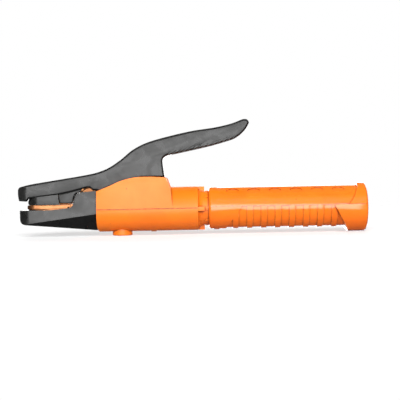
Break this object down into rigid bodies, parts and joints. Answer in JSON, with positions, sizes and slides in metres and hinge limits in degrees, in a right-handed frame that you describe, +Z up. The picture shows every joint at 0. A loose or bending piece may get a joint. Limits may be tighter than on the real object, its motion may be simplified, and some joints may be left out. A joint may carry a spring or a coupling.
{
  "type": "electrode holder",
  "caption": "Tong-type electrode holder: brass jaws in black insulators, sprung gooseneck lever, orange housing and a ribbed tubular handle that draws back over the cable clamp.",
  "frame": {"origin": "centre of the bounding box in plan, on the surface that the holder lies on with its boss and its rear flange", "axes": "+X along the handle from the jaws to the cable end, +Z up towards the lever, +Y across; the x-z plane is the middle plane"},
  "size_m": [0.2631, 0.0366, 0.0859],
  "materials": {
    "housing_orange": "moulded orange nylon, semi-gloss, with faint flow marks and small specks",
    "handle_orange": "moulded orange nylon, semi-gloss, slightly redder than the housing",
    "black_insulation": "black moulded fibre-filled resin, mottled, dusty grey where light rakes it",
    "black_lever": "black glass-filled resin with a fine moulding grain and rubbed edges",
    "brass": "bright machined copper alloy, reddish",
    "steel": "zinc-plated steel",
    "fibre": "brown vulcanised fibre"
  },
  "bodies": {
    "root": {"housing": "housing_orange", "boss_plug": "housing_orange", "housing_screw": "steel", "jaw_body": "brass", "lower_insulator": "black_insulation", "lower_screw_front": "steel", "lower_screw_rear": "steel", "pivot_pin": "steel", "pivot_clip_left": "steel", "pivot_clip_right": "steel", "spring_seat": "fibre", "return_spring": "steel", "clamp_shoe": "brass", "clamp_screw_front": "steel", "clamp_screw_rear": "steel", "barrel_sleeve": "fibre"},
    "lever_arm": {"lever": "black_lever", "upper_jaw": "brass", "upper_shoe_front": "black_insulation", "upper_shoe_rear": "black_insulation", "upper_screw_front": "steel", "upper_screw_rear": "steel", "spring_cap": "steel", "pivot_bush_left": "brass", "pivot_bush_right": "brass"},
    "handle_body": {"handle": "handle_orange", "handle_lock_screw": "handle_orange"}
  },
  "joints": [
    {"name": "lever_pivot", "type": "hinge", "parent": "root", "child": "lever_arm", "pos_m": [-0.0516, 0, 0.0344], "axis": [0, 1, 0], "range_deg": [0, 16], "stiffness_Nm_per_rad": 12, "springref_deg": -20.05, "deforming": ["return_spring"]},
    {"name": "handle_slide", "type": "slide", "parent": "root", "child": "handle_body", "axis": [1, 0, 0], "range_m": [0, 0.06]}
  ]
}
